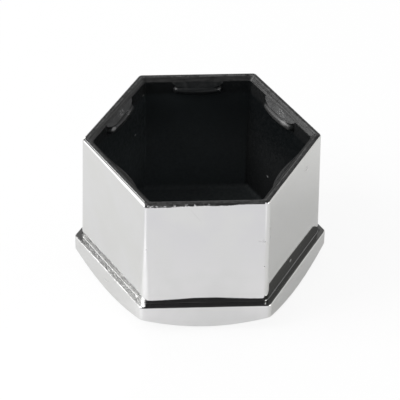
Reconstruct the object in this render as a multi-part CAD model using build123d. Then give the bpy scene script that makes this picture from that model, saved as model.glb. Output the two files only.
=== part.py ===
from build123d import *
import os
from math import radians, tan

# A press-on cover for a hexagonal wheel bolt head, moulded in one piece.
# Millimetres, +Z up. It stands on its crown with the mouth up, and the axis of the hexagon is Z.
# Two corners of the hexagon lie on the X axis and two flats face along Y.

# Bolt head that the cap covers: width across its flats, and the gap at each flat
head_across_flats = 17.0
head_clearance = 0.15

# Skirt, which narrows a little towards its rim so that it leaves the mould
wall = 0.85
skirt_height = 11.65
skirt_draft_angle = 1.1
skirt_corner_radius = 0.5
rim_edge_radius = 0.3
rim_flat = 0.12

# Wide end of the cap, which forms a ledge under the skirt and has a chamfered crown
ledge_width = 0.56
side_height = 2.46
chamfer_angle = 31.0
crown_inset = 0.8
crown_thickness = 1.3
flange_corner_radius = 0.5
ledge_edge_radius = 0.16
ledge_root_radius = 0.06
chamfer_edge_radius = 0.12
crown_edge_radius = 0.5

# Pocket with a lead-in around its mouth, which takes up what the rim leaves of the wall
pocket_corner_radius = 0.35
floor_radius = 0.4
lead_in_depth = 0.36
lead_in_edge_radius = 0.12

# Half-round guide ramp under the lead-in of each pocket wall, with its depth measured from the rim
ramp_width = 4.8
ramp_depth = 0.95
ramp_rise = 0.45

# Retaining bead at the foot of each ramp, at a depth below the rim: a short bar, bowed in plan,
# whose round nose keeps a narrow flat
bead_length = 4.6
bead_rise = 0.7
bead_depth = 0.84
bead_height = 0.7
bead_nose_flat = 0.06
bead_bow_radius = 9.0
bead_corner_radius = 0.5

# Sizes that follow from those above
sides = 6
lead_in_width = wall - rim_edge_radius - rim_flat
bead_edge_radius = (bead_height - bead_nose_flat) / 2
pocket_across_flats = head_across_flats + 2 * head_clearance
skirt_across_flats = pocket_across_flats + 2 * wall
skirt_foot_across_flats = skirt_across_flats + 2 * skirt_height * tan(radians(skirt_draft_angle))
flange_across_flats = skirt_foot_across_flats + 2 * ledge_width
crown_radius = flange_across_flats / 2 - crown_inset
ledge_z = crown_inset * tan(radians(chamfer_angle)) + side_height
rim_z = ledge_z + skirt_height
wall_y = pocket_across_flats / 2
root_y = wall_y + wall / 2
bead_y = wall_y - bead_rise


def hexagon(across_flats, corner_radius):
    """A hexagon with rounded corners."""
    outline = RegularPolygon(across_flats / 2, sides, major_radius=False)
    return fillet(outline.vertices(), corner_radius)


def prism(across_flats, bottom, top, corner_radius):
    """An upright hexagonal prism with rounded corners."""
    return extrude(Plane.XY.offset(bottom) * hexagon(across_flats, corner_radius), top - bottom)


def crown_cone():
    """The cone that leaves the chamfer on the flange, with the flat crown as its small end."""
    reach = flange_across_flats
    height = reach * tan(radians(chamfer_angle))
    profile = Polyline((0, 0), (crown_radius, 0), (crown_radius + reach, height), (0, height), close=True)
    cone = revolve(Plane.XZ * make_face(profile), Axis.Z)
    crown_edge = cone.edges().filter_by(GeomType.CIRCLE).sort_by(Axis.Z)[0]
    return fillet(crown_edge, crown_edge_radius)


def flange():
    """The wide end of the cap: a hexagon with a chamfered crown and softened edges."""
    solid = prism(flange_across_flats, 0, ledge_z, flange_corner_radius) & crown_cone()
    ledge = solid.faces().sort_by(Axis.Z)[-1]
    solid = fillet(ledge.outer_wire().edges(), ledge_edge_radius)
    chamfer_face = solid.faces().filter_by(GeomType.CONE).sort_by(SortBy.AREA)[-1]
    return fillet(chamfer_face.outer_wire().edges(), chamfer_edge_radius)


def skirt():
    """The solid form of the skirt, drawn at its rim and widening down into the flange."""
    rim = Plane.XY.offset(rim_z) * hexagon(skirt_across_flats, skirt_corner_radius)
    return extrude(rim, crown_thickness - rim_z, taper=-skirt_draft_angle)


def body():
    """The flange with the skirt standing on it, still solid."""
    solid = flange() + skirt()
    ledge = solid.faces().filter_by(lambda face: len(face.inner_wires()) == 1)[0]
    solid = fillet(ledge.inner_wires()[0].edges(), ledge_root_radius)
    rim = solid.faces().sort_by(Axis.Z)[-1]
    return fillet(rim.outer_wire().edges(), rim_edge_radius)


def pocket():
    """The space inside the cap, flared at the mouth as a lead-in."""
    space = prism(pocket_across_flats, crown_thickness, rim_z, pocket_corner_radius)
    floor = space.faces().sort_by(Axis.Z)[0]
    space = fillet(floor.edges(), floor_radius)
    throat = hexagon(pocket_across_flats, pocket_corner_radius)
    mouth = hexagon(pocket_across_flats + 2 * lead_in_width, pocket_corner_radius)
    flare = loft([Plane.XY.offset(rim_z - lead_in_depth) * throat, Plane.XY.offset(rim_z) * mouth])
    return space + flare


def ramp():
    """The guide ramp on the wall that faces along Y: a wedge with a half-round lower edge."""
    top_z = rim_z - lead_in_depth
    foot_z = rim_z - ramp_depth
    ramp_y = wall_y - ramp_rise
    half_round = extrude(
        Plane.XZ.offset(-root_y) * (Pos(0, top_z) * Ellipse(ramp_width / 2, top_z - foot_z)),
        root_y - ramp_y,
    )
    section = Polyline((wall_y, top_z), (ramp_y, foot_z), (root_y, foot_z), (root_y, top_z), close=True)
    wedge = extrude(Plane.YZ * make_face(section), ramp_width / 2, both=True)
    return half_round & wedge


def bead():
    """The retaining bead on the wall that faces along Y, rooted in that wall."""
    plan = Pos(0, (root_y + bead_y) / 2) * Rectangle(bead_length, root_y - bead_y)
    plan &= Pos(0, bead_y + bead_bow_radius) * Circle(bead_bow_radius)
    plan = fillet(plan.vertices().sort_by(Axis.Y)[:2], bead_corner_radius)
    bar = extrude(Plane.XY.offset(rim_z - bead_depth) * plan, -bead_height)
    nose_edges = bar.faces().filter_by(Axis.Z).edges().sort_by(Axis.Y)[:-2]
    return fillet(nose_edges, bead_edge_radius)


def around(piece):
    """The piece repeated on every side of the hexagon."""
    return [Rot(0, 0, side * 360 / sides) * piece for side in range(sides)]


def cap():
    """The finished cap: the body with its pocket, its guide ramps and its beads."""
    solid = body() - pocket()
    rim = solid.faces().sort_by(Axis.Z)[-1]
    solid = fillet(rim.inner_wires()[0].edges(), lead_in_edge_radius)
    return solid + around(ramp()) + around(bead())


os.makedirs("parts", exist_ok=True)
export_step(cap(), "parts/cap.step")
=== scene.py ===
from math import cos, radians, sin
from typing import NamedTuple

import bmesh
import bpy
from mathutils import Matrix, Vector


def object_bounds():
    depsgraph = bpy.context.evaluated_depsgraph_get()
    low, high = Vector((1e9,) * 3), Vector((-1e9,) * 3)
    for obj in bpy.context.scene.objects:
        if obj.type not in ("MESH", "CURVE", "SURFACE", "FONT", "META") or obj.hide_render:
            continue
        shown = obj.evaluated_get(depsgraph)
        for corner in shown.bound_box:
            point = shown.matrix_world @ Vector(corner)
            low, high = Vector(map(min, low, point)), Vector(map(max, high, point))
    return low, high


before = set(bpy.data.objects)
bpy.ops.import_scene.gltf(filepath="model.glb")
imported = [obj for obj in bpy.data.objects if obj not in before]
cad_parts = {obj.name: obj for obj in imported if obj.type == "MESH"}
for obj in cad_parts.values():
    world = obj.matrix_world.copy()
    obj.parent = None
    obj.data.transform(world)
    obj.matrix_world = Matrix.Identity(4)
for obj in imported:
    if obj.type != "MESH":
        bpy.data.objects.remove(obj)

# A chrome-plated cover cap for a wheel bolt head, standing on its crown with its mouth up.
# Objects are in metres, and the finish of the cap is worked out in millimetres.
MM = 0.001
MM_PER_M = 1000.0

cad_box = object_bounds()

# Sizes of the cap that its finish follows, in millimetres
WALL = 0.85
SKIRT_HALF_WIDTH = 9.5
SKIRT_FOOT_HALF_WIDTH = 9.72
LEDGE_HEIGHT = 2.94
CROWN_THICKNESS = 1.3
LEAD_IN_DEPTH = 0.36
LEAD_IN_EDGE = 9.08
BEAD_ACROSS = 8.3
RIM_HEIGHT = cad_box[1].z * MM_PER_M

# Bearings of the walls as the photograph shows them, in degrees from the cap's X axis
BACK_RIGHT_WALL = 30.0
BACK_WALL = 90.0
BACK_LEFT_WALL = 150.0
LEFT_WALL = 210.0
FRONT_WALL = 270.0
RIGHT_WALL = 330.0
WALLS = (BACK_RIGHT_WALL, BACK_WALL, BACK_LEFT_WALL, LEFT_WALL, FRONT_WALL, RIGHT_WALL)


class Ramp(NamedTuple):
    """A soft change from a first to a last result, as a measure goes from its start to its end."""

    start: float
    end: float
    first: float = 0.0
    last: float = 1.0


class Noise(NamedTuple):
    """A random pattern: its features in a millimetre, and the levels and strength of finer detail."""

    per_mm: float
    detail: float = 2.0
    strength: float = 0.5


class Patches(NamedTuple):
    """Random patches: a noise, and its values where a patch starts and where it is full."""

    noise: Noise
    start: float
    full: float


class Streaks(NamedTuple):
    """Random streaks along a wall: how many lie in a millimetre, and how much longer than wide they are."""

    per_mm: float
    stretch: float


class Spot(NamedTuple):
    """A small mark that shows in the photograph, as an ellipsoid around a place on the surface."""

    middle: tuple
    half_size: tuple


class Glow(NamedTuple):
    """A round bright patch of the studio: where it is, how far it is full and fades, and its strength."""

    azimuth: float
    elevation: float
    full_radius: float
    faded_radius: float
    strength: float


class Graph:
    """Adds linked nodes to one node tree, so that a finish reads as a formula."""

    def __init__(self, tree):
        self.tree = tree
        tree.nodes.clear()

    def add(self, kind, inputs=None, **settings):
        """A new node, with each input a plain value or another node's output."""
        node = self.tree.nodes.new("ShaderNode" + kind)
        for name, value in settings.items():
            setattr(node, name, value)
        for key, value in (inputs or {}).items():
            if isinstance(value, bpy.types.NodeSocket):
                self.tree.links.new(value, node.inputs[key])
            else:
                node.inputs[key].default_value = value
        return node

    def math(self, operation, *values):
        """The result of one step of arithmetic on numbers."""
        return self.add("Math", dict(enumerate(values)), operation=operation).outputs[0]

    def chain(self, operation, values):
        """Several numbers put together from left to right by one operation."""
        result = values[0]
        for value in values[1:]:
            result = self.math(operation, result, value)
        return result

    def total(self, *values):
        """The sum of the numbers."""
        return self.chain("ADD", values)

    def minus(self, *values):
        """The first number less all the others."""
        return self.chain("SUBTRACT", values)

    def product(self, *values):
        """The numbers multiplied together."""
        return self.chain("MULTIPLY", values)

    def most(self, *values):
        """The largest of the numbers."""
        return self.chain("MAXIMUM", values)

    def size(self, value):
        """A number without its sign."""
        return self.math("ABSOLUTE", value)

    def stretched(self, value, factor, base):
        """A number times a factor, added to a base."""
        return self.math("MULTIPLY_ADD", value, factor, base)

    def dot(self, vector, direction):
        """How far a vector reaches along a direction."""
        return self.add("VectorMath", {0: vector, 1: direction}, operation="DOT_PRODUCT").outputs["Value"]

    def vector(self, operation, *vectors):
        """The result of one step of arithmetic on vectors."""
        return self.add("VectorMath", dict(enumerate(vectors)), operation=operation).outputs[0]

    def length(self, vector):
        """The length of a vector."""
        return self.add("VectorMath", {0: vector}, operation="LENGTH").outputs["Value"]

    def scaled(self, vector, factor):
        """A vector times a number."""
        return self.add("VectorMath", {0: vector, "Scale": factor}, operation="SCALE").outputs[0]

    def ramp(self, value, ramp):
        """A number put through a ramp."""
        inputs = {"Value": value, 1: ramp.start, 2: ramp.end, 3: ramp.first, 4: ramp.last}
        return self.add("MapRange", inputs, interpolation_type="SMOOTHSTEP").outputs[0]

    def noise(self, place, noise):
        """Soft random values from 0 to 1."""
        inputs = {
            "Vector": place,
            "Scale": noise.per_mm,
            "Detail": noise.detail,
            "Roughness": noise.strength,
        }
        return self.add("TexNoise", inputs).outputs[0]

    def patches(self, place, patches):
        """1 in random patches, and 0 between them."""
        return self.ramp(self.noise(place, patches.noise), Ramp(patches.start, patches.full))

    def blend(self, factor, low, high):
        """One number or the other, by a factor from 0 to 1."""
        return self.add("Mix", {0: factor, 2: low, 3: high}, data_type="FLOAT").outputs[0]

    def colours(self, factor, low, high):
        """One colour or the other, by a factor from 0 to 1."""
        return self.add("Mix", {0: factor, 6: low, 7: high}, data_type="RGBA").outputs[2]


def grey(level):
    """A plain grey."""
    return (level, level, level, 1.0)


def outward(bearing):
    """The unit vector that a wall with this bearing faces along."""
    return (cos(radians(bearing)), sin(radians(bearing)), 0.0)


# How near a wall's plane a point counts as on that wall, where the beads are, and how spots fade
ON_WALL = Ramp(-0.3, -0.05)
BEAD_NOSE = Ramp(BEAD_ACROSS, BEAD_ACROSS - 0.15)
BEAD_DEPTH = Ramp(2.0, 1.6)
SPOT_EDGE = Ramp(1.0, 0.4)
STREAK_NOISE = Noise(1.0, 3.0)
MIDDLE_OF_NOISE = 0.5

# Faint scratch under the front rim: its middle, how far it leans, and how it fades
SCRATCH_X = -1.0
SCRATCH_HEIGHT = 13.25
SCRATCH_LEAN = -0.68
SCRATCH_WIDTH = Ramp(0.06, 0.0)
SCRATCH_LENGTH = Ramp(0.85, 0.425)


class CapSurface:
    """Measures of a point on the cap, in millimetres, that its finish follows."""

    def __init__(self, graph):
        self.graph = graph
        self.place = graph.scaled(graph.add("TexCoord").outputs["Object"], MM_PER_M)
        axes = graph.add("SeparateXYZ", {0: self.place}).outputs
        self.x = axes["X"]
        self.height = axes["Z"]
        self.depth = graph.minus(RIM_HEIGHT, self.height)
        self.above_ledge = graph.minus(self.height, LEDGE_HEIGHT)
        reaches = {bearing: graph.dot(self.place, outward(bearing)) for bearing in WALLS}
        self.across = graph.most(*reaches.values())
        self.on_wall = {}
        for bearing, reach in reaches.items():
            self.on_wall[bearing] = graph.ramp(graph.minus(reach, self.across), ON_WALL)
        self.on_bead = graph.product(graph.ramp(self.across, BEAD_NOSE), graph.ramp(self.depth, BEAD_DEPTH))

    def by_wall(self, usual, values):
        """A number that some walls have to themselves, and the usual one on the others."""
        result = usual
        for bearing, value in values.items():
            result = self.graph.blend(self.on_wall[bearing], result, value)
        return result

    def near_ledge(self, ramp):
        """A ramp by the distance above or below the ledge's level."""
        return self.graph.ramp(self.graph.size(self.above_ledge), ramp)

    def streaks(self, measure, streaks):
        """Random values in streaks along the walls, with the measure going across them."""
        g = self.graph
        across = g.product(measure, streaks.per_mm)
        along = g.product(self.x, streaks.per_mm / streaks.stretch)
        return g.noise(g.add("CombineXYZ", {0: across, 1: along}).outputs[0], STREAK_NOISE)

    def spots(self, spots):
        """1 inside any of the spots, which have soft edges."""
        g = self.graph
        masks = []
        for spot in spots:
            offset = g.vector("SUBTRACT", self.place, spot.middle)
            share = g.vector("DIVIDE", offset, spot.half_size)
            masks.append(g.ramp(g.length(share), SPOT_EDGE))
        return g.most(*masks)

    def scratch(self):
        """1 on the faint scratch that leans across the front wall under the rim."""
        g = self.graph
        above = g.minus(self.height, SCRATCH_HEIGHT)
        beside = g.minus(self.x, g.stretched(above, SCRATCH_LEAN, SCRATCH_X))
        on_line = g.ramp(g.size(beside), SCRATCH_WIDTH)
        in_length = g.ramp(g.size(above), SCRATCH_LENGTH)
        return g.product(on_line, in_length, self.on_wall[FRONT_WALL])


# Border of the plating at the rim: above 0 it lies down the outside, below 0 up on the rim
USUAL_BORDER = -0.12
WALL_BORDERS = {LEFT_WALL: -0.22, RIGHT_WALL: -0.02, BACK_RIGHT_WALL: 0.02}
FRONT_BORDER_BY_X = Ramp(1.5, 5.0, 0.25, 0.0)
LEFT_END_BORDER_BY_X = Ramp(-4.5, -0.5, 0.11, 0.0)
BORDER_EDGE = Ramp(-0.02, 0.02)
RAGGED_BORDER = Noise(2.0, 5.0, 0.65)
USUAL_RAGGEDNESS = 0.1
FRONT_RAGGEDNESS = 0.3

# Flecks of plating on the bare left half of the front rim, within a short way of the border
FLECKS = Patches(Noise(5.0), 0.56, 0.6)
FLECKS_BY_BORDER = Ramp(-0.35, -0.1)
FLECKS_BY_X = Ramp(1.0, -1.0)

# Bounds of the plating: the outer half of the wall's thickness, and all of the crown's underside
PLATED_FROM = SKIRT_HALF_WIDTH - WALL / 2
PLATED_CROWN_HEIGHT = CROWN_THICKNESS * 0.7


def plating_mask(g, cap):
    """1 where the cap is plated: the outside, up to a border at the rim that is ragged in front."""
    on_front = cap.on_wall[FRONT_WALL]
    front_border = g.total(g.ramp(cap.x, LEFT_END_BORDER_BY_X), g.ramp(cap.x, FRONT_BORDER_BY_X))
    border = g.blend(on_front, cap.by_wall(USUAL_BORDER, WALL_BORDERS), front_border)
    raggedness = g.blend(on_front, USUAL_RAGGEDNESS, FRONT_RAGGEDNESS)
    ragged = g.product(g.minus(g.noise(cap.place, RAGGED_BORDER), MIDDLE_OF_NOISE), raggedness)
    past_edge = g.minus(cap.depth, g.minus(SKIRT_HALF_WIDTH, cap.across))
    past_border = g.minus(past_edge, border, ragged)
    fleck_place = g.product(on_front, g.ramp(past_border, FLECKS_BY_BORDER), g.ramp(cap.x, FLECKS_BY_X))
    flecks = g.product(g.patches(cap.place, FLECKS), fleck_place)
    plated = g.most(g.ramp(past_border, BORDER_EDGE), flecks)
    outside = g.math("GREATER_THAN", cap.across, PLATED_FROM)
    crown = g.math("LESS_THAN", cap.height, PLATED_CROWN_HEIGHT)
    return g.most(g.product(outside, plated), crown)


# Pocket: painted light that lifts its shade, rising with depth and towards the left, held back on its
# floor, and least on the back right wall
BARE_PLASTIC = (0.004, 0.005, 0.0055, 1.0)
PLASTIC_WITH_PAINTED_LIGHT = (0.045, 0.055, 0.059, 1.0)
PAINTED_LIGHT_BY_DEPTH = Ramp(3.0, 12.5, 0.25, 1.0)
PAINTED_LIGHT_BY_X = Ramp(-3.0, 6.0, 1.0, 0.55)
WALL_PAINTED_LIGHT = {BACK_RIGHT_WALL: 0.1}
ON_POCKET_FLOOR = Ramp(CROWN_THICKNESS + 0.5, CROWN_THICKNESS + 0.1)
FLOOR_PAINTED_LIGHT = 0.6
MOTTLE = Noise(2.0, 4.0)
MOTTLE_SPAN = 0.4
LEAST_MOTTLE = 0.8

# Guide ramps above the beads, with painted light and shade making some of them paler than others
BELOW_GUIDES = Ramp(1.5, 2.0)
USUAL_GUIDE_LIGHT = 0.19
WALL_GUIDE_LIGHTS = {BACK_WALL: 0.04, BACK_LEFT_WALL: 0.1, LEFT_WALL: 0.4, RIGHT_WALL: 0.34}
PAINTED_LIT_GUIDE = grey(0.055)


def pocket_colour(g, cap):
    """Dark plastic lifted by painted light, and the guide ramps near the mouth, some of them paler by
    painted light.
    """
    # Painted light in the pocket: more deeper down, where less light reaches, and less on the right, on the
    # back right wall and on the floor, where more light falls
    wall_painted_light = cap.by_wall(g.ramp(cap.depth, PAINTED_LIGHT_BY_DEPTH), WALL_PAINTED_LIGHT)
    painted_light = g.blend(g.ramp(cap.height, ON_POCKET_FLOOR), wall_painted_light, FLOOR_PAINTED_LIGHT)
    mottle = g.stretched(g.noise(cap.place, MOTTLE), MOTTLE_SPAN, LEAST_MOTTLE)
    walls = g.colours(g.product(painted_light, g.ramp(cap.x, PAINTED_LIGHT_BY_X), mottle), BARE_PLASTIC, PLASTIC_WITH_PAINTED_LIGHT)
    # Painted light and shade on the guide ramps, set wall by wall
    guide_painted_light = g.product(cap.by_wall(USUAL_GUIDE_LIGHT, WALL_GUIDE_LIGHTS), mottle)
    guides = g.colours(guide_painted_light, BARE_PLASTIC, PAINTED_LIT_GUIDE)
    return g.colours(g.ramp(cap.depth, BELOW_GUIDES), guides, walls)


# Lead-in: how clearly the walls show wear lines along it, which painted light and shade set wall by wall,
# and patches of painted highlight on its outer edge
ON_LEAD_IN = Ramp(LEAD_IN_DEPTH * 1.2, LEAD_IN_DEPTH * 0.8)
USUAL_WEAR_AND_LIGHT = 1.0
WALL_WEAR_AND_LIGHT = {BACK_WALL: 0.4, BACK_LEFT_WALL: 0.7, RIGHT_WALL: 0.7}
WEAR_LINES = Streaks(5.0, 12.0)
WEAR_LINE_EDGE = Ramp(0.42, 0.6)
CLEAN_LEAD_IN = grey(0.008)
WORN_LEAD_IN = grey(0.045)
LEAD_IN_EDGE_WIDTH = Ramp(0.08, 0.03)
EDGE_HIGHLIGHT_PATCHES = Patches(Noise(1.5, 3.0), 0.4, 0.6)
PAINTED_EDGE_HIGHLIGHT = grey(0.08)

# Flat of the rim
ON_RIM = Ramp(0.12, 0.02)
RIM_SCUFFS = Patches(Noise(4.0, 4.0), 0.3, 0.7)
CLEAN_RIM = grey(0.02)
SCUFFED_RIM = grey(0.05)


def mouth_colour(g, cap):
    """The pocket's colour with the lead-in and the rim: scuffed grey, with wear lines that painted light
    makes clearer on some walls, and a painted highlight along the lead-in's edge.
    """
    on_lead_in = g.ramp(cap.depth, ON_LEAD_IN)
    inward = g.total(cap.across, cap.height)
    # Painted light and shade: how strongly the wear lines show is set wall by wall
    wear_and_light = g.product(on_lead_in, cap.by_wall(USUAL_WEAR_AND_LIGHT, WALL_WEAR_AND_LIGHT))
    lines = g.product(wear_and_light, g.ramp(cap.streaks(inward, WEAR_LINES), WEAR_LINE_EDGE))
    lead_in = g.colours(lines, g.colours(on_lead_in, pocket_colour(g, cap), CLEAN_LEAD_IN), WORN_LEAD_IN)
    rim = g.colours(g.patches(cap.place, RIM_SCUFFS), CLEAN_RIM, SCUFFED_RIM)
    mouth = g.colours(g.ramp(cap.depth, ON_RIM), lead_in, rim)
    # Painted highlight in patches along the lead-in's rounded outer edge
    by_edge = g.ramp(g.size(g.minus(cap.across, LEAD_IN_EDGE)), LEAD_IN_EDGE_WIDTH)
    edge_highlight = g.product(by_edge, g.patches(cap.place, EDGE_HIGHLIGHT_PATCHES), on_lead_in)
    return g.colours(edge_highlight, mouth, PAINTED_EDGE_HIGHLIGHT)


# Beads: painted sheen on the noses of some of them, and painted highlights at the ends of two of them
USUAL_BEAD_SHEEN = 0.0
BEAD_SHEEN_BY_WALL = {BACK_RIGHT_WALL: 1.0, BACK_LEFT_WALL: 0.3}
PAINTED_BEAD_SHEEN = grey(0.055)
BEAD_HIGHLIGHTS = [
    Spot((7.65, 2.95, 13.6), (0.5, 0.5, 0.25)),
    Spot((-7.95, 2.55, 13.58), (0.35, 0.35, 0.25)),
]
PAINTED_HIGHLIGHT = grey(0.16)

# Scuffs in fine specks on the guide ramps, and specks of dust in the pocket
GUIDE_SCUFFS = [
    Spot((7.5, 3.9, 14.0), (0.6, 1.1, 0.35)),
    Spot((-7.26, 4.32, 14.06), (0.5, 0.8, 0.35)),
    Spot((-6.57, 4.86, 13.68), (0.4, 0.4, 0.3)),
]
SPECKS = Patches(Noise(9.0, 3.0), 0.5, 0.64)
SCUFF_SPECK = grey(0.2)
POCKET_DUST = [
    Spot((-5.12, 8.44, 12.86), (0.1, 0.3, 0.1)),
    Spot((-5.92, 7.05, 9.23), (0.12, 0.3, 0.14)),
    Spot((6.69, 5.72, 4.9), (0.1, 0.3, 0.14)),
]
DUST_SPECK = grey(0.3)


def plastic_colour(g, cap):
    """Bare black plastic, with painted sheen and highlights on the beads, scuffs and specks of dust."""
    # Painted sheen on the bead noses, strongest on the back right wall, which faces the light
    bead_sheen = g.product(cap.on_bead, cap.by_wall(USUAL_BEAD_SHEEN, BEAD_SHEEN_BY_WALL))
    colour = g.colours(bead_sheen, mouth_colour(g, cap), PAINTED_BEAD_SHEEN)
    # Painted highlights at the ends of two beads
    colour = g.colours(cap.spots(BEAD_HIGHLIGHTS), colour, PAINTED_HIGHLIGHT)
    specks = g.product(cap.spots(GUIDE_SCUFFS), g.patches(cap.place, SPECKS))
    colour = g.colours(specks, colour, SCUFF_SPECK)
    return g.colours(cap.spots(POCKET_DUST), colour, DUST_SPECK)


# Plating, which is faintly cloudy and a little cooler in front, with painted light low on the front and a
# painted shadow on the right
SIDE_PLATING = (0.655, 0.655, 0.645, 1.0)
FRONT_PLATING = (0.648, 0.645, 0.66, 1.0)
LOW_FRONT_PAINTED_LIGHT = (0.71, 0.705, 0.71, 1.0)
LOW_FRONT = Ramp(2.0, 11.0)
CLOUDS = Patches(Noise(0.3), 0.3, 0.7)
CLOUDY_PLATING = grey(0.67)
RIGHT_PAINTED_SHADOW = (0.6, 0.6, 0.58, 1.0)
RIGHT_PAINTED_SHADOW_SHARE = 0.6

# Dull marks on the plating, and how strongly they and the scratch show
PLATING_MARKS = [
    Spot((5.2, -9.59, 10.1), (0.25, 0.4, 0.3)),
    Spot((4.8, -9.59, 10.08), (0.3, 0.3, 0.1)),
    Spot((5.7, -9.27, 11.38), (0.15, 0.15, 0.14)),
    Spot((5.76, -9.19, 10.34), (0.12, 0.12, 0.18)),
    Spot((5.27, -9.63, 7.14), (0.14, 0.2, 0.16)),
    Spot((-5.37, -9.57, 9.37), (0.14, 0.3, 0.14)),
    Spot((-8.95, -5.07, 1.7), (0.5, 0.5, 0.12)),
    Spot((9.41, -2.78, 12.79), (0.4, 0.6, 0.35)),
    Spot((8.09, -5.4, 4.0), (0.3, 0.3, 0.2)),
    Spot((6.43, -8.32, 3.03), (0.2, 0.2, 0.15)),
]
MARK_PATCHES = Patches(Noise(5.0, 3.0), 0.35, 0.65)
MARK_SHARE = 0.4
SCRATCH_SHARE = 0.6
MARKED_PLATING = grey(0.4)

# Dull line in the root between a wall and its ledge, partly duller plating and partly painted shade in that
# crease, which the left wall doesn't have
ROOT_WIDTH = Ramp(0.12, 0.04)
ROOT_HEIGHT = Ramp(0.3, 0.15)
USUAL_ROOT = 1.0
WALL_ROOTS = {LEFT_WALL: 0.0}
DULL_SHADED_ROOT = grey(0.25)


def plating_colour(g, cap, marks):
    """Bright plating with clouds, painted light low on the front, a painted shadow on the right, small dull
    marks, and a dull line along the ledges that is partly painted shade.
    """
    # Painted light low on the front wall, which lifts the floor's shade that it reflects
    front = g.colours(g.ramp(cap.depth, LOW_FRONT), FRONT_PLATING, LOW_FRONT_PAINTED_LIGHT)
    clean = g.colours(cap.on_wall[FRONT_WALL], SIDE_PLATING, front)
    cloudy = g.colours(g.patches(cap.place, CLOUDS), clean, CLOUDY_PLATING)
    # Painted reflection of the floor's shadow, darkening the right wall
    with_painted_shadow = g.colours(g.product(cap.on_wall[RIGHT_WALL], RIGHT_PAINTED_SHADOW_SHARE), cloudy, RIGHT_PAINTED_SHADOW)
    patchy_marks = g.product(marks, g.patches(cap.place, MARK_PATCHES))
    all_marks = g.most(patchy_marks, g.product(cap.scratch(), SCRATCH_SHARE))
    marked = g.colours(g.product(all_marks, MARK_SHARE), with_painted_shadow, MARKED_PLATING)
    # Painted shade, with duller plating, in the root where a wall meets its ledge
    from_root = g.minus(cap.across, cap.above_ledge, SKIRT_FOOT_HALF_WIDTH)
    in_root = g.product(g.ramp(g.size(from_root), ROOT_WIDTH), cap.near_ledge(ROOT_HEIGHT))
    return g.colours(g.product(in_root, cap.by_wall(USUAL_ROOT, WALL_ROOTS)), marked, DULL_SHADED_ROOT)


# Ripples of the plating along the ledges, which are strong only on the left
RIPPLED_HEIGHT = Ramp(0.6, 0.3)
RIPPLES = Streaks(7.0, 2.5)
USUAL_RIPPLE = 0.006
WALL_RIPPLES = {LEFT_WALL: 0.055}


def ledge_ripples(g, cap):
    """Heights of the ripples near the ledges."""
    height = g.product(cap.near_ledge(RIPPLED_HEIGHT), cap.by_wall(USUAL_RIPPLE, WALL_RIPPLES))
    outward_slope = g.minus(cap.across, cap.height)
    return g.product(height, g.minus(cap.streaks(outward_slope, RIPPLES), MIDDLE_OF_NOISE))


# Soft dip of the walls towards the ledges: bowed in front, deeper on the right, and none on the left
DIP_NOISE = Noise(0.4)
DIP_SPAN = 0.06
LEAST_DIP = 0.08
FRONT_DIP = Ramp(5.2, 0.5, 0.0, 0.1)
RIGHT_DIP = Ramp(6.0, 11.0, 0.205, 0.145)
LEFT_DIP = 0.0
USUAL_DIP_REACH = 1.4
WALL_DIP_REACHES = {RIGHT_WALL: 2.6}


def ledge_dip(g, cap):
    """Heights of the walls, which rise away from the ledges over a short reach."""
    usual_dip = g.stretched(g.noise(cap.place, DIP_NOISE), DIP_SPAN, LEAST_DIP)
    front_dip = g.ramp(g.size(cap.x), FRONT_DIP)
    right_dip = g.ramp(cap.x, RIGHT_DIP)
    dip = cap.by_wall(usual_dip, {LEFT_WALL: LEFT_DIP, FRONT_WALL: front_dip, RIGHT_WALL: right_dip})
    reach = cap.by_wall(USUAL_DIP_REACH, WALL_DIP_REACHES)
    return g.product(dip, g.ramp(cap.above_ledge, Ramp(0.0, reach)))


# Soft edge of the left rim, which is roundest towards the front
SOFT_EDGE_BY_X = Ramp(-10.5, -6.0, 0.3, 1.0)
SOFT_EDGE_BY_DEPTH = Ramp(0.5, 0.1, 0.0, -0.15)

# Soft waves of the plating, and the grain of the plastic, which is finer in the pocket
WAVES = Noise(0.5)
WAVE_HEIGHT = 0.003
GRAIN = Noise(4.0, 3.0)
GRAIN_HEIGHT_BY_DEPTH = Ramp(2.0, 1.0, 0.004, 0.014)


def cap_relief(g, cap, plated):
    """Heights of the surface in millimetres: waves and dips of the plating, and grain of the plastic."""
    waves = g.product(g.noise(cap.place, WAVES), WAVE_HEIGHT)
    soft_edge = g.product(g.ramp(cap.x, SOFT_EDGE_BY_X), g.ramp(cap.depth, SOFT_EDGE_BY_DEPTH))
    left_edge = g.product(cap.on_wall[LEFT_WALL], soft_edge)
    plating = g.total(waves, ledge_ripples(g, cap), ledge_dip(g, cap), left_edge)
    grain = g.product(g.noise(cap.place, GRAIN), g.ramp(cap.depth, GRAIN_HEIGHT_BY_DEPTH))
    return g.blend(plated, grain, plating)


# Roughness of the plastic, which is worn unevenly and duller deep in the pocket, and of the plating
WEAR_NOISE = Noise(3.0, 4.0)
WORN_ROUGHNESS = Ramp(0.3, 0.7, 0.28, 0.5)
BEAD_ROUGHNESS = 0.34
ADDED_ROUGHNESS_BY_DEPTH = Ramp(3.0, 9.0, 0.0, 0.4)
PLATING_ROUGHNESS = 0.05
ADDED_MARK_ROUGHNESS = 0.3


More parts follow.
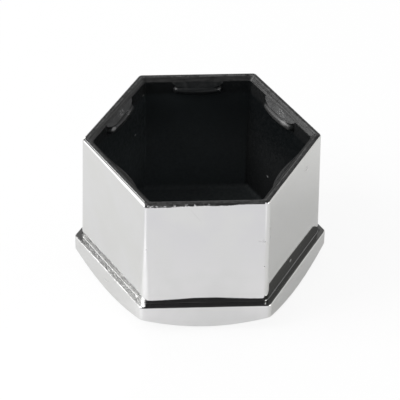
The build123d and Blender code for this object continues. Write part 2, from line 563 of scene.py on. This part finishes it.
def cap_finish():
    """Bright plating outside, and bare black plastic on the rim and in the pocket."""
    material = bpy.data.materials.new("cap_finish")
    material.use_nodes = True
    g = Graph(material.node_tree)
    cap = CapSurface(g)
    plated = plating_mask(g, cap)
    marks = cap.spots(PLATING_MARKS)
    worn_roughness = g.ramp(g.noise(cap.place, WEAR_NOISE), WORN_ROUGHNESS)
    mouth_roughness = g.blend(cap.on_bead, worn_roughness, BEAD_ROUGHNESS)
    plastic_roughness = g.total(mouth_roughness, g.ramp(cap.depth, ADDED_ROUGHNESS_BY_DEPTH))
    plating_roughness = g.stretched(marks, ADDED_MARK_ROUGHNESS, PLATING_ROUGHNESS)
    bump = g.add("Bump", {"Strength": 1.0, "Distance": MM, "Height": cap_relief(g, cap, plated)})
    shader = g.add(
        "BsdfPrincipled",
        {
            "Base Color": g.colours(plated, plastic_colour(g, cap), plating_colour(g, cap, marks)),
            "Metallic": plated,
            "Roughness": g.blend(plated, plastic_roughness, plating_roughness),
            "Normal": bump.outputs[0],
        },
    )
    g.add("OutputMaterial", {"Surface": shader.outputs[0]})
    return material


# Floor, and how much of its shadow the camera and the chrome see
FLOOR_RADIUS = 3.0
FLOOR_SIDES = 64
FLOOR_GAP = 0.02 * MM
FLOOR_COLOUR = grey(0.9)
SHADOW_IN_VIEW = 0.12
SHADOW_IN_CHROME = 0.85


def floor_finish():
    """White paper, whose shadow the camera sees faintly and the chrome more clearly, clear from below."""
    material = bpy.data.materials.new("floor_finish")
    material.use_nodes = True
    g = Graph(material.node_tree)
    ray = g.add("LightPath").outputs
    paper = g.add("BsdfDiffuse", {"Color": FLOOR_COLOUR})
    white = g.add("Emission", {"Strength": 1.0})
    in_view = g.product(ray["Is Camera Ray"], 1.0 - SHADOW_IN_VIEW)
    in_chrome = g.product(ray["Is Glossy Ray"], 1.0 - SHADOW_IN_CHROME)
    lit = g.add("MixShader", {0: g.total(in_view, in_chrome), 1: paper.outputs[0], 2: white.outputs[0]})
    clear = g.add("BsdfTransparent")
    from_below = g.add("NewGeometry").outputs["Backfacing"]
    mixed = g.add("MixShader", {0: from_below, 1: lit.outputs[0], 2: clear.outputs[0]})
    g.add("OutputMaterial", {"Surface": mixed.outputs[0]})
    return material


def add_floor():
    """A round plain floor under the cap."""
    shape = bmesh.new()
    bmesh.ops.create_circle(shape, cap_ends=True, segments=FLOOR_SIDES, radius=FLOOR_RADIUS)
    mesh = bpy.data.meshes.new("floor")
    shape.to_mesh(mesh)
    shape.free()
    mesh.materials.append(floor_finish())
    floor = bpy.data.objects.new("floor", mesh)
    floor.location.z = -FLOOR_GAP
    bpy.context.collection.objects.link(floor)


# Studio: the plain light, and what the chrome sees by the X, Y and Z of a direction
PLAIN_LIGHT = 0.74
PAPER_WHITE = 1.0
BEYOND_FRONT_BY_Y = Ramp(-0.75, -0.3)
HIGH_WALLS_BY_Z = Ramp(0.3, 0.12)
LOW_WALLS_BY_Z = Ramp(0.2, 0.1)
RIGHT_SIDE_BY_X = Ramp(0.45, 0.75)
RIGHT_SIDE_BY_Z = Ramp(0.58, 0.42, 0.0, 0.9)
FRONT_CEILING = 0.035
BACK_CEILING_BY_X = Ramp(-0.5, 0.6, 0.19, 0.11)
BACK_BY_Y = Ramp(0.0, 0.55)
GLOWS = {
    "softbox": Glow(-78, 14, 10, 20, 1.9),
    "skylight": Glow(-63, 61, 4, 24, 1.6),
    "window": Glow(122, 20, 14, 22, 4.0),
}


def direction(azimuth, elevation):
    """The unit vector towards a bearing: left of the photograph is -90, its back 0 and its right 90."""
    a = radians(azimuth)
    e = radians(elevation)
    return Vector((sin(a) * cos(e), cos(a) * cos(e), sin(e)))


def glow_level(g, towards, glow):
    """The brightness of one glow of the studio in a direction."""
    nearness = g.dot(towards, direction(glow.azimuth, glow.elevation))
    faded = cos(radians(glow.faded_radius))
    full = cos(radians(glow.full_radius))
    return g.ramp(nearness, Ramp(faded, full, 0.0, glow.strength))


def add_world():
    """A studio that lights plainly, and that chrome sees with a dark ceiling and pale walls."""
    world = bpy.data.worlds.new("studio")
    world.use_nodes = True
    g = Graph(world.node_tree)
    towards = g.add("TexCoord").outputs["Generated"]
    axes = g.add("SeparateXYZ", {0: towards}).outputs
    ray = g.add("LightPath").outputs
    high_walls = g.product(g.ramp(axes["Y"], BEYOND_FRONT_BY_Y), g.ramp(axes["Z"], HIGH_WALLS_BY_Z))
    low_walls = g.ramp(axes["Z"], LOW_WALLS_BY_Z)
    right_side = g.product(g.ramp(axes["X"], RIGHT_SIDE_BY_X), g.ramp(axes["Z"], RIGHT_SIDE_BY_Z))
    back_ceiling = g.ramp(axes["X"], BACK_CEILING_BY_X)
    ceiling = g.blend(g.ramp(axes["Y"], BACK_BY_Y), FRONT_CEILING, back_ceiling)
    glows = [glow_level(g, towards, glow) for glow in GLOWS.values()]
    studio = g.most(high_walls, low_walls, right_side, ceiling, *glows)
    lit = g.blend(ray["Is Glossy Ray"], PLAIN_LIGHT, studio)
    seen = g.blend(ray["Is Camera Ray"], lit, PAPER_WHITE)
    background = g.add("Background", {"Color": seen})
    g.add("OutputWorld", {"Surface": background.outputs[0]})
    bpy.context.scene.world = world


# Key lamp, in metres, watts and degrees
KEY_WIDTH = 0.2
KEY_HEIGHT = 0.24
KEY_ENERGY = 0.75
KEY_DISTANCE = 0.35
KEY_AZIMUTH = -98
KEY_ELEVATION = 42


def add_key_light():
    """A soft lamp from the left of the photograph, which casts the shadow."""
    lamp = bpy.data.lights.new("key", "AREA")
    lamp.shape = "RECTANGLE"
    lamp.size = KEY_WIDTH
    lamp.size_y = KEY_HEIGHT
    lamp.energy = KEY_ENERGY
    key = bpy.data.objects.new("key", lamp)
    aim = direction(KEY_AZIMUTH, KEY_ELEVATION)
    facing = aim.to_track_quat("Z", "Y").to_matrix().to_4x4()
    key.matrix_world = Matrix.Translation(aim * KEY_DISTANCE) @ facing
    key.visible_camera = False
    bpy.context.collection.objects.link(key)


# Pools of light on the floor, as places in millimetres, and the narrow lamps above them
FLOOR_GLINTS = [(-12.0, -13.2), (-18.0, -18.0)]
GLINT_LAMP_HEIGHT = 100.0
GLINT_LAMP_ENERGY = 0.14
GLINT_LAMP_CONE = radians(8.5)


def add_floor_glints():
    """The pools of light that the walls of the cap throw on the floor beside its front left corner."""
    lamp = bpy.data.lights.new("floor_glint", "SPOT")
    lamp.energy = GLINT_LAMP_ENERGY
    lamp.spot_size = GLINT_LAMP_CONE
    lamp.spot_blend = 1.0
    for x, y in FLOOR_GLINTS:
        glint = bpy.data.objects.new("floor_glint", lamp)
        glint.location = (x * MM, y * MM, GLINT_LAMP_HEIGHT * MM)
        glint.visible_camera = False
        glint.visible_glossy = False
        bpy.context.collection.objects.link(glint)


# Camera: the photograph's frame in pixels, and how the camera stands to the middle of the rim
IMAGE_SIZE = 400
FOCAL_PIXELS = 2417.1
SENSOR_WIDTH = 36.0
CAMERA_ELEVATION = radians(40.34)
CAMERA_YAW = radians(3.411)
CAMERA_ROLL = radians(1.076)
CAMERA_DISTANCE = 220.5 * MM
NEAREST_SEEN = CAMERA_DISTANCE / 100
RIM_RIGHT_OF_AXIS = 0.192 * MM
RIM_ABOVE_AXIS = 5.806 * MM


def add_camera():
    """The camera where the photograph was taken from."""
    lens = bpy.data.cameras.new("camera")
    lens.sensor_width = SENSOR_WIDTH
    lens.lens = SENSOR_WIDTH * FOCAL_PIXELS / IMAGE_SIZE
    lens.clip_start = NEAREST_SEEN
    level = Vector((cos(CAMERA_YAW), -sin(CAMERA_YAW), 0.0))
    ahead = Vector((sin(CAMERA_YAW), cos(CAMERA_YAW), 0.0))
    back = Vector((0.0, 0.0, sin(CAMERA_ELEVATION))) - cos(CAMERA_ELEVATION) * ahead
    right = cos(CAMERA_ROLL) * level + sin(CAMERA_ROLL) * back.cross(level)
    up = back.cross(right)
    rim_middle = Vector((0.0, 0.0, cad_box[1].z))
    spot = rim_middle + CAMERA_DISTANCE * back - RIM_RIGHT_OF_AXIS * right - RIM_ABOVE_AXIS * up
    camera = bpy.data.objects.new("camera", lens)
    camera.matrix_world = Matrix.Translation(spot) @ Matrix((right, up, back)).transposed().to_4x4()
    bpy.context.collection.objects.link(camera)
    bpy.context.scene.camera = camera


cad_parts["cap"].material_slots[0].material = cap_finish()
add_floor()
add_world()
add_key_light()
add_floor_glints()
add_camera()
bpy.context.scene.view_settings.view_transform = "Standard"
